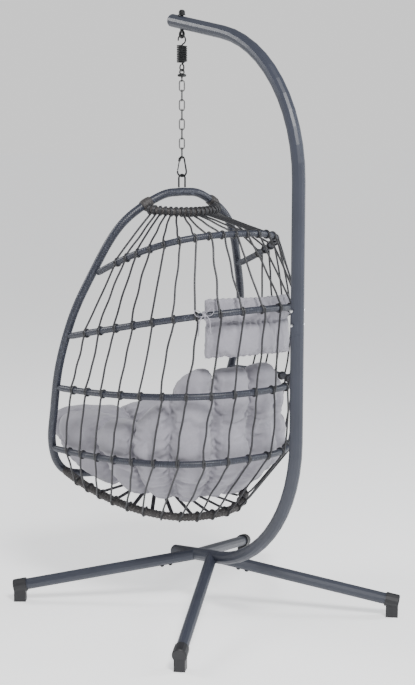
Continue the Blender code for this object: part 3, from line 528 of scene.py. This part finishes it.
def make_cords(look):
    """Nineteen cords from the crown to the bottom ring, each turned once round every band on its way."""
    levels = net_levels()
    rng = random.Random(7)
    middle = hoop_point(0, 0.5, 0.2)
    for i in range(CORDS):
        path = []
        for level, row in enumerate(levels):
            here, along, radius = row[i]
            reach = radius + CORD_R * CORD_STAND_OFF
            last = level + 1 == len(levels)
            out = across(here - Vector((0, middle.y, here.z)), along)
            plane = along.cross(out)
            if plane.z < 0:
                plane = -plane
            start = 0.25 if level else math.pi * 0.9
            turns = 2 * math.pi + 2 * start
            slide = CORD_R * 2.1 * (1 if i < CORDS / 2 else -1)
            for k in range(LOOP_STEPS + 1):
                t = k / LOOP_STEPS
                angle = start + (turns - (0.6 if last else 0)) * -t
                lift = reach * (1 + 0.05 * math.sin(math.pi * t) ** 2)
                turned = out * math.cos(angle) + plane * math.sin(angle)
                path.append(here + turned * lift + along * slide * (t - 0.5))
            if not last:
                target_here, target_along, target_radius = levels[level + 1][i]
                target_out = across(target_here - Vector((0, middle.y, target_here.z)), target_along)
                target_reach = target_radius + CORD_R * CORD_STAND_OFF
                target = target_here + target_out * target_reach - target_along * slide * 0.5
                first = path[-1]
                bow = target_out * rng.uniform(-0.002, 0.006) + target_along * rng.uniform(-0.007, 0.007)
                kink = target_along * rng.uniform(-0.0022, 0.0022)
                for k in range(1, SPAN_STEPS):
                    t = k / SPAN_STEPS
                    bend = bow * math.sin(math.pi * t) + kink * math.sin(4.5 * math.pi * t)
                    path.append(first.lerp(target, t) + bend)
        made = tube(f"net_cord_{i + 1}", respaced(path, 0.0035), CORD_R, look, "basket", 8)
        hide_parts(*(f"cord_net_{k}" for k in range(1, 6)))


# --- Cushions --------------------------------------------------------------------------------
CUSHION_CENTRE_Y = HANG_Y + 0.005
CUSHION_SIDE, CUSHION_BACK, CUSHION_FRONT = 0.308, 0.328, 0.445
FLOOR_Z, FLOOR_SLOPE, SEAT_Z = 0.392, 0.12, 0.515
RIM_BACK_Z, RIM_SIDE_Z, RIM_FRONT_Z = 0.829, 0.640, 0.602
OUTSIDE_RINGS = 18  # the profile's points up to the start of the rim
SEAM_ANGLES = [math.radians(a) for a in (-90, -50, -14, 21, 47, 73, 98, 124, 150, 176, 204, 236)]


def smoothstep(value, low, high):
    t = min(1.0, max(0.0, (value - low) / (high - low)))
    return t * t * (3 - 2 * t)


def bowl_radius(angle, height):
    """The room inside the bands in a level direction; angle 0 is +X and 90 degrees is the back."""
    swell = math.sin(min(1.0, max(0.0, (height - FLOOR_Z) / 0.20)) * math.pi / 2)
    low = 0.70 - 0.14 * math.sin(angle)
    front = math.sin(angle) < 0
    reach, square = (CUSHION_FRONT, 5.0) if front else (CUSHION_BACK, 2.5)
    c, s = abs(math.cos(angle)) / CUSHION_SIDE, abs(math.sin(angle)) / reach
    return (c**square + s**square) ** (-1 / square) * (low + (1 - low) * swell)


def floor_drop(angle, radius, share):
    """How far the sloping floor lowers a point of the outside; share is 0 at the floor and 1 at the rim."""
    return FLOOR_SLOPE * (1 - share) * radius * math.sin(angle)


def rim_height(angle):
    """Lowest at the front, level along the sides and rising steeply to the back."""
    degrees = math.degrees(math.asin(math.sin(angle)))
    back = smoothstep(degrees, 18, 66)
    front = smoothstep(-degrees, 40, 80)
    return RIM_SIDE_Z + (RIM_BACK_Z - RIM_SIDE_Z) * back - (RIM_SIDE_Z - RIM_FRONT_Z) * front


def seam_gap(angle):
    """Angle to the nearest upright seam."""
    return min(abs(math.remainder(angle - seam, 2 * math.pi)) for seam in SEAM_ANGLES)


def ring_seam_z(angle):
    """Height of the seam that runs round the outside, halfway up the back."""
    return 0.515 + 0.130 * smoothstep(math.degrees(math.asin(math.sin(angle))), 8, 42)


def groove(distance, width):
    return math.exp(-((distance / width) ** 2))


def cushion_profile(angle):
    """Distance from the middle, height and seam depth, from the floor's middle over the rim to the seat."""
    rim = rim_height(angle)
    front = 0.5 * (1 - math.sin(angle))
    thick = 0.080 + 0.085 * front
    cap = 0.048
    made = []
    floor = bowl_radius(angle, FLOOR_Z)
    for share in (0.25, 0.5, 0.75, 0.92):
        made.append((floor * share, FLOOR_Z + 0.004 - floor_drop(angle, floor * share, 0.0), 0.4))
    walls = 12
    for i in range(walls + 1):
        z = FLOOR_Z + 0.012 + (rim - cap - FLOOR_Z - 0.012) * i / walls
        radius = bowl_radius(angle, z)
        made.append((radius, z - floor_drop(angle, radius, i / walls), 1.0))
    outer = bowl_radius(angle, rim - cap)
    for i in range(1, 8):
        t = math.pi * i / 8
        made.append((outer - thick / 2 + thick / 2 * math.cos(t), rim - cap + cap * math.sin(t), 1.0))
    inner_top = outer - thick
    inner_low = inner_top * 0.80
    for i in range(8):
        t = i / 7
        made.append((inner_top + (inner_low - inner_top) * t**1.5, rim - cap + (SEAT_Z - rim + cap) * t, 0.9))
    for share in (0.8, 0.55, 0.3, 0.12):
        made.append((inner_low * share, SEAT_Z + 0.012 * (1 - share), 0.7 * share))
    return made


def start_cushion():
    """The cushion before it is filled: a bowl with a groove along every seam."""
    around = 180
    centre = Vector((0, CUSHION_CENTRE_Y, 0))
    rings = len(cushion_profile(0.0))
    verts = [[] for _ in range(rings)]
    for k in range(around):
        angle = 2 * math.pi * k / around
        profile = cushion_profile(angle)
        level = Vector((math.cos(angle), math.sin(angle), 0))
        for i, (r, z, depth) in enumerate(profile):
            before, after = profile[max(0, i - 1)], profile[min(rings - 1, i + 1)]
            dr, dz = after[0] - before[0], after[1] - before[1]
            size = math.hypot(dr, dz) or 1.0
            inset = 0.004 + depth * 0.034 * groove(seam_gap(angle) * max(r, 0.05), 0.013)
            if i < OUTSIDE_RINGS:
                inset += 0.010 * groove(z - ring_seam_z(angle), 0.012) * depth
            verts[i].append(centre + level * (r - inset * dz / size) + Z * (z + inset * dr / size))
    points = [p for ring in verts for p in ring]
    faces = []
    for i in range(rings - 1):
        for k in range(around):
            m = (k + 1) % around
            faces.append((i * around + k, i * around + m, (i + 1) * around + m, (i + 1) * around + k))
    faces.append(tuple(range(around))[::-1])
    faces.append(tuple((rings - 1) * around + k for k in range(around)))
    return points, faces


def cushion_sewn(point):
    """Whether a point of the cushion is held down by a seam."""
    x, y, z = point[0], point[1] - CUSHION_CENTRE_Y, point[2]
    angle, r = math.atan2(y, x), math.hypot(x, y)
    outside = r > bowl_radius(angle, z) - 0.045 and z < rim_height(angle) - 0.045
    if outside and math.sin(angle) > 0 and abs(z - ring_seam_z(angle)) < 0.0045:
        return True
    if z < FLOOR_Z + 0.02 and r < 0.10:
        return True
    return seam_gap(angle) * r < 0.0045 and r > 0.07


def gathers(points):
    """How far the cover stands up in the small folds that run out from the seams."""
    made = []
    for x, y, z in points:
        y -= CUSHION_CENTRE_Y
        angle, r = math.atan2(y, x), math.hypot(x, y)
        along = (z + 0.6 * r) / 0.027 + 0.5 * math.sin(5 * angle + 9 * z)
        near = groove(seam_gap(angle) * r, 0.040)
        made.append(0.0032 * near * math.sin(2 * math.pi * along) * min(1.0, r / 0.15))
    return np.array(made)


def pillow_gathers(points):
    """Small folds along the pillow's stitched line and its top and bottom hems."""
    made = []
    for x, _y, z in points:
        v = (z - PILLOW_Z) / (PILLOW_H / 2)
        near = groove((v - CREASE_V) * PILLOW_H / 2, 0.018) + groove((1 - abs(v)) * PILLOW_H / 2, 0.020)
        made.append(0.0018 * near * math.sin(2 * math.pi * (x / 0.021 + 0.6 * math.sin(30 * z + 8 * x))))
    return np.array(made)


def remeshed(mesh, voxel, name):
    """A mesh of even faces over a closed one."""
    shell = bpy.data.objects.new(name, mesh)
    bpy.context.scene.collection.objects.link(shell)
    step = shell.modifiers.new("even", "REMESH")
    step.mode = "VOXEL"
    step.voxel_size = voxel
    step.use_smooth_shade = True
    depsgraph = bpy.context.evaluated_depsgraph_get()
    made = bpy.data.meshes.new_from_object(shell.evaluated_get(depsgraph))
    bpy.data.objects.remove(shell)
    return made


def coordinates(mesh):
    made = np.empty(len(mesh.vertices) * 3, np.float32)
    mesh.vertices.foreach_get("co", made)
    return made.reshape(-1, 3).astype(float)


def relaxed(mesh, points, share, passes):
    """Points moved part of the way to the middle of their neighbours."""
    edges = np.empty(len(mesh.edges) * 2, np.int32)
    mesh.edges.foreach_get("vertices", edges)
    a, b = edges.reshape(-1, 2).T
    count = np.bincount(np.concatenate([a, b]), minlength=len(points))[:, None]
    for _ in range(passes):
        total = np.zeros_like(points)
        np.add.at(total, a, points[b])
        np.add.at(total, b, points[a])
        points = points + (total / np.maximum(count, 1) - points) * share
    return points


def stuffed(name, points, faces, voxel, sewn, folds, pressure, slack, cap, frames=18):
    """A closed cover filled by a cloth simulation, held down at its seams. Returns the mesh."""
    mesh = bpy.data.meshes.new(f"{name}_start")
    mesh.from_pydata([tuple(p) for p in points], [], faces)
    mesh = remeshed(mesh, voxel, f"{name}_shell")
    rest = relaxed(mesh, coordinates(mesh), 0.5, 2)
    mesh.vertices.foreach_set("co", rest.astype(np.float32).ravel())
    cover = bpy.data.objects.new(f"{name}_cover", mesh)
    bpy.context.scene.collection.objects.link(cover)
    held = cover.vertex_groups.new(name="seams")
    held.add([i for i, p in enumerate(rest) if sewn(p)], 1.0, "REPLACE")
    cloth = cover.modifiers.new("cloth", "CLOTH")
    settings = cloth.settings
    settings.quality = 4
    settings.mass = 0.25
    settings.tension_stiffness = 18
    settings.compression_stiffness = 12
    settings.shear_stiffness = 4
    settings.bending_stiffness = 0.15
    settings.shrink_min = -slack
    settings.use_pressure = True
    settings.uniform_pressure_force = pressure
    settings.vertex_group_mass = "seams"
    settings.effector_weights.gravity = 0
    cloth.collision_settings.use_collision = False
    cloth.point_cache.frame_start = 1
    cloth.point_cache.frame_end = frames
    for frame_number in range(1, frames + 1):
        bpy.context.scene.frame_set(frame_number)
    depsgraph = bpy.context.evaluated_depsgraph_get()
    filled = bpy.data.meshes.new_from_object(cover.evaluated_get(depsgraph))
    moved = coordinates(filled) - rest
    size = np.linalg.norm(moved, axis=1)[:, None]
    moved *= np.minimum(1.0, cap / np.maximum(size, 1e-9))
    result = relaxed(filled, rest + moved, 0.4, 1)
    filled.vertices.foreach_set("co", result.astype(np.float32).ravel())
    filled.update()
    outward = np.array([tuple(corner.vector) for corner in filled.vertex_normals])
    result = result + outward * folds(result)[:, None]
    filled.vertices.foreach_set("co", result.astype(np.float32).ravel())
    bpy.data.objects.remove(cover)
    bpy.context.scene.frame_set(1)
    return filled


def finished_cushion(name, mesh, look, node_name):
    mesh.name = name
    mesh.shade_smooth()
    mesh.materials.clear()
    mesh.materials.append(look)
    made = bpy.data.objects.new(name, mesh)
    bpy.context.scene.collection.objects.link(made)
    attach(made, "basket")
    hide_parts(node_name)
    return made


def make_seat_cushion(look):
    points, faces = start_cushion()
    mesh = stuffed("seat", points, faces, 0.0075, cushion_sewn, gathers, 4.5, 0.14, 0.026)
    finished_cushion("seat_cushion_cover", mesh, look, "seat_cushion")


PILLOW_W, PILLOW_T, PILLOW_H = 0.338, 0.044, 0.190
PILLOW_X, PILLOW_Y, PILLOW_Z, PILLOW_BEND = -0.012, HANG_Y + 0.375, 0.968, 0.036
CREASE_V = 0.18  # the stitched line across, as a share of half the height


def start_pillow():
    columns, rows = 70, 40
    verts, faces = [], []
    for sign in (-1, 1):
        for j in range(rows + 1):
            for i in range(columns + 1):
                u, v = 2 * i / columns - 1, 2 * j / rows - 1
                fill = ((1 - u**6) * (1 - v**6)) ** 0.5
                crease = 0.011 * groove((v - CREASE_V) * PILLOW_H / 2, 0.006)
                half = max(0.004, 0.004 + (PILLOW_T / 2 - 0.008) * fill - crease)
                depth = sign * half - PILLOW_BEND * u * u
                sag = 0.005 * (1 - u * u) * v - 0.004 * math.sin(2.2 * u + 0.6)
                x = u * PILLOW_W / 2 * (1 - 0.02 * (1 - v * v))
                verts.append(Vector((PILLOW_X + x, PILLOW_Y + depth, PILLOW_Z + v * PILLOW_H / 2 - sag)))
    side = (rows + 1) * (columns + 1)

    def index(layer, i, j):
        return layer * side + j * (columns + 1) + i

    for j in range(rows):
        for i in range(columns):
            front = (index(0, i, j), index(0, i + 1, j), index(0, i + 1, j + 1), index(0, i, j + 1))
            faces.append(front)
            faces.append(tuple(v + side for v in front[::-1]))
    edge = [(i, 0) for i in range(columns)] + [(columns, j) for j in range(rows)]
    edge += [(i, rows) for i in range(columns, 0, -1)] + [(0, j) for j in range(rows, 0, -1)]
    for a, b in zip(edge, edge[1:] + edge[:1]):
        faces.append((index(0, *b), index(0, *a), index(1, *a), index(1, *b)))
    return verts, faces


def pillow_sewn(point):
    """Whether a point of the pillow is in the hem round its edge or on the stitched line across."""
    u, v = (point[0] - PILLOW_X) / (PILLOW_W / 2), (point[2] - PILLOW_Z) / (PILLOW_H / 2)
    if abs(u) > 0.965 or abs(v) > 0.93:
        return True
    return abs(v - CREASE_V) * PILLOW_H / 2 < 0.0025


def make_pillow(look):
    points, faces = start_pillow()
    mesh = stuffed("pillow", points, faces, 0.0050, pillow_sewn, pillow_gathers, 3.0, 0.12, 0.010)
    finished_cushion("headrest_pillow_cover", mesh, look, "headrest_pillow")


def make_ties(look):
    """A fabric tape round the second band on each side of the pillow, tied in a bow with two tails."""
    line = band_line("band_2")
    tilt = BANDS["band_2"][2]
    up = Vector((0, -math.sin(tilt), math.cos(tilt)))
    for name, place in (("left", TIE_SHARE), ("right", 1 - TIE_SHARE)):
        near, ahead = even_points(line, [place, place + 0.01])
        along = (ahead - near).normalized()
        out = up.cross(along).normalized()
        if out.y < 0:
            out = -out
        reach = band_radius("band_2") + 0.0022
        loop = []
        for k in range(3 * 20):
            t = 2 * math.pi * k / 20
            loop.append(near + (out * math.cos(t) + up * math.sin(t)) * (reach + 0.0006 * math.sin(t * 1.5))
                        + along * 0.0028 * (k / 20 - 1.5))
        tape = tube(f"pillow_tie_{name}_tape", loop, 0.0016, look, "basket", 8, flat=1.0)
        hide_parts(f"pillow_tie_{name}")
        knot = near + out * (reach + 0.003)
        for bow, lean in (("a", 1), ("b", -1)):
            ear = []
            for k in range(25):
                t = math.pi * k / 24
                spread = 0.030 * math.sin(t)
                ear.append(knot + along * lean * spread + up * (0.010 * math.sin(2 * t) + 0.012 * math.sin(t))
                           + out * 0.004 * math.sin(t))
            tube(f"pillow_tie_{name}_bow_{bow}", ear, 0.0022, look, "basket", 8, flat=0.5)
            tail = [knot + along * lean * 0.003]
            for k in range(1, 15):
                t = k / 14
                tail.append(knot + along * lean * (0.003 + 0.020 * t**0.7 + 0.003 * math.sin(5 * t))
                            - Z * 0.062 * t**1.15 + out * (0.006 * math.sin(math.pi * t)))
            tail = smooth_curve(tail, 4)
            made = tube(f"pillow_tie_{name}_tail_{bow}", tail, 0.0020, look, "basket", 8)
        ball = [knot + along * 0.006 * (k / 12 - 0.5) * 2 for k in range(13)]
        radii = [0.0022 + 0.0030 * math.sin(math.pi * k / 12) for k in range(13)]
        tube(f"pillow_tie_{name}_knot", ball, radii, look, "basket", 12)


# --- Stand and hanger finishes ---------------------------------------------------------------
def finish_nodes(looks):
    """Every CAD node that stays gets the detailed finish of its slot."""
    slots = {row["node"]: row["material_slot"] for row in frame["record"]["subparts"]}
    for name, obj in frame["nodes"].items():
        for place in obj.material_slots:
            place.material = looks[slots[name]]
        if name.startswith("chain_link"):
            coat = obj.modifiers.new("coat", "DISPLACE")
            coat.strength, coat.mid_level = 0.0006, 0.0


# --- Camera, floor and light -----------------------------------------------------------------
def make_camera():
    data = bpy.data.cameras.new("camera")
    made = bpy.data.objects.new("camera", data)
    bpy.context.scene.collection.objects.link(made)
    data.sensor_width = 36.0
    data.lens = 1539.9 * 36.0 / 685.0
    data.clip_end = 100.0
    azimuth, pitch, roll = math.radians(53.61), math.radians(8.23), math.radians(0.11)
    level = math.cos(pitch)
    forward = Vector((-math.cos(azimuth) * level, -math.sin(azimuth) * level, -math.sin(pitch)))
    right = Vector((-math.sin(azimuth), math.cos(azimuth), 0))
    up = right.cross(forward)
    turned = right * math.cos(roll) + up * math.sin(roll)
    up = turned.cross(forward)
    made.matrix_world = Matrix((turned, up, -forward)).transposed().to_4x4()
    made.location = (2.957, 4.156 + HANG_Y, 1.612)
    bpy.context.scene.camera = made


def make_floor():
    size = 60.0
    mesh = bpy.data.meshes.new("floor")
    corners = [(-size, -size, 0), (size, -size, 0), (size, size, 0), (-size, size, 0)]
    mesh.from_pydata(corners, [], [(0, 1, 2, 3)])
    made = bpy.data.objects.new("floor", mesh)
    bpy.context.scene.collection.objects.link(made)
    look, _tree, _shader = principled(
        "pale_floor", (0.9, 0.9, 0.9), 0.7, emission_color=(1, 1, 1, 1), emission_strength=0.70)
    mesh.materials.append(look)
    made.location.z = -0.0005


def area_light(name, location, target, size, power, colour=(1, 1, 1)):
    data = bpy.data.lights.new(name, "AREA")
    data.shape = "RECTANGLE"
    data.size, data.size_y = size
    data.energy = power
    data.color = colour
    made = bpy.data.objects.new(name, data)
    bpy.context.scene.collection.objects.link(made)
    made.location = location
    made.rotation_mode = "QUATERNION"
    made.rotation_quaternion = (Vector(target) - Vector(location)).to_track_quat("-Z", "Y")


def make_light():
    """A pale room, brighter to look at than as a light, with a key, an edge and a front panel."""
    world = bpy.data.worlds.new("studio")
    world.use_nodes = True
    tree = world.node_tree
    room = tree.nodes["Background"]
    room.inputs["Color"].default_value = (0.95, 0.97, 1.0, 1.0)
    room.inputs["Strength"].default_value = 0.36
    seen = tree.nodes.new("ShaderNodeBackground")
    seen.inputs["Color"].default_value = (1.0, 1.0, 1.0, 1.0)
    seen.inputs["Strength"].default_value = 1.02
    path = tree.nodes.new("ShaderNodeLightPath")
    pick = tree.nodes.new("ShaderNodeMixShader")
    tree.links.new(path.outputs["Is Camera Ray"], pick.inputs["Fac"])
    tree.links.new(room.outputs["Background"], pick.inputs[1])
    tree.links.new(seen.outputs["Background"], pick.inputs[2])
    tree.links.new(pick.outputs["Shader"], tree.nodes["World Output"].inputs["Surface"])
    bpy.context.scene.world = world
    area_light("key", (1.2, 3.4, 4.4), (0, 0, 0.9), (1.3, 1.3), 300)
    area_light("edge", (-3.6, 2.0, 2.2), (0, 0, 1.0), (0.7, 2.6), 105, (0.93, 0.97, 1.0))
    area_light("front", (2.4, -3.4, 3.2), (0, 0, 0.7), (1.6, 1.6), 110)


def main():
    make_camera()
    make_floor()
    make_light()
    # the third value of each rattan is the colour of its painted glints
    slate = rattan("slate_rattan", SLATE_STRIP, (0.20, 0.22, 0.28), 0.0076, 0.42, 0.5)
    brown = rattan("brown_rattan", BROWN_STRIP, (0.22, 0.21, 0.20), 0.0100, 0.6, 0.6)
    fabric = upholstery("grey_upholstery", FABRIC)
    looks = {
        "slate_paint": powder_coat(),
        "slate_plastic": moulded_plastic("slate_cap_plastic", SLATE, 0.45),
        "black_steel": black_finish(),
        "silver_steel": bright_steel(),
        "black_plastic": moulded_plastic("black_foot_plastic", (0.010, 0.010, 0.012), 0.5),
        "slate_wicker": powder_coat(),
        "brown_wicker": strand_finish(),
        "grey_fabric": fabric,
    }
    finish_nodes(looks)
    make_wraps(slate, brown)
    make_lashings(brown)
    make_cords(strand_finish())
    make_seat_cushion(fabric)
    make_pillow(fabric)
    make_ties(fabric)


main()
